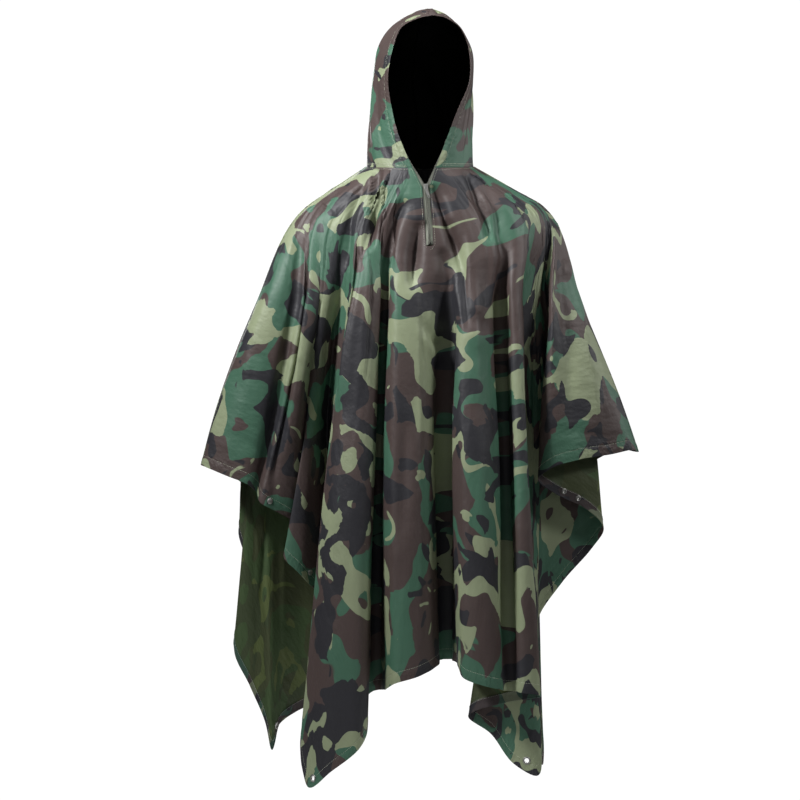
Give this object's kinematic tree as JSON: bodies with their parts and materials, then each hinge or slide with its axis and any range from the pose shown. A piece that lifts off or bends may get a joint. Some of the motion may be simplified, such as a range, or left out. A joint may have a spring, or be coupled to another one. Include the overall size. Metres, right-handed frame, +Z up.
{
  "type": "rain poncho",
  "caption": "Hooded rain poncho of thin coated cloth, worn shape with open hood, neck, sleeves and sides, short front zip with a swinging pull tab.",
  "frame": {"origin": "middle of the neck opening, at the height of the hood's seam, where the wearer's neck and shoulders hold the poncho", "axes": "+Z up along the wearer, -Y out of the wearer's chest, +X to the wearer's left; left and right in names are as seen from the front"},
  "size_m": [0.8757, 0.4461, 1.526],
  "materials": {
    "poncho_cloth": "coated, slight sheen",
    "hood_cloth": "coated, slight sheen",
    "zip_tape": "matt",
    "bare_metal": "satin",
    "dark_metal": "satin"
  },
  "bodies": {
    "garment": {"front_panel": "poncho_cloth", "back_panel": "poncho_cloth", "hood_left": "hood_cloth", "hood_right": "hood_cloth", "zip_tape_left": "zip_tape", "zip_tape_right": "zip_tape", "zip_teeth_left": "dark_metal", "zip_teeth_right": "dark_metal", "zip_slider": "bare_metal", "zip_bottom_stop": "dark_metal", "eyelet_front_left": "bare_metal", "eyelet_front_right": "bare_metal", "eyelet_back_left": "bare_metal", "eyelet_back_right": "bare_metal", "press_stud_1": "bare_metal", "press_stud_2": "bare_metal", "press_stud_3": "bare_metal", "press_stud_4": "bare_metal", "press_stud_5": "bare_metal", "press_stud_6": "bare_metal", "press_stud_7": "bare_metal", "press_stud_8": "bare_metal"},
    "zip_pull": {"zip_pull_tab": "bare_metal"}
  },
  "joints": [
    {"name": "pull_tab_swing", "type": "hinge", "parent": "garment", "child": "zip_pull", "pos_m": [0.01039, -0.12004, -0.05167], "axis": [-0.9979, -0.0371, -0.0527], "range_deg": [0, 150]}
  ]
}
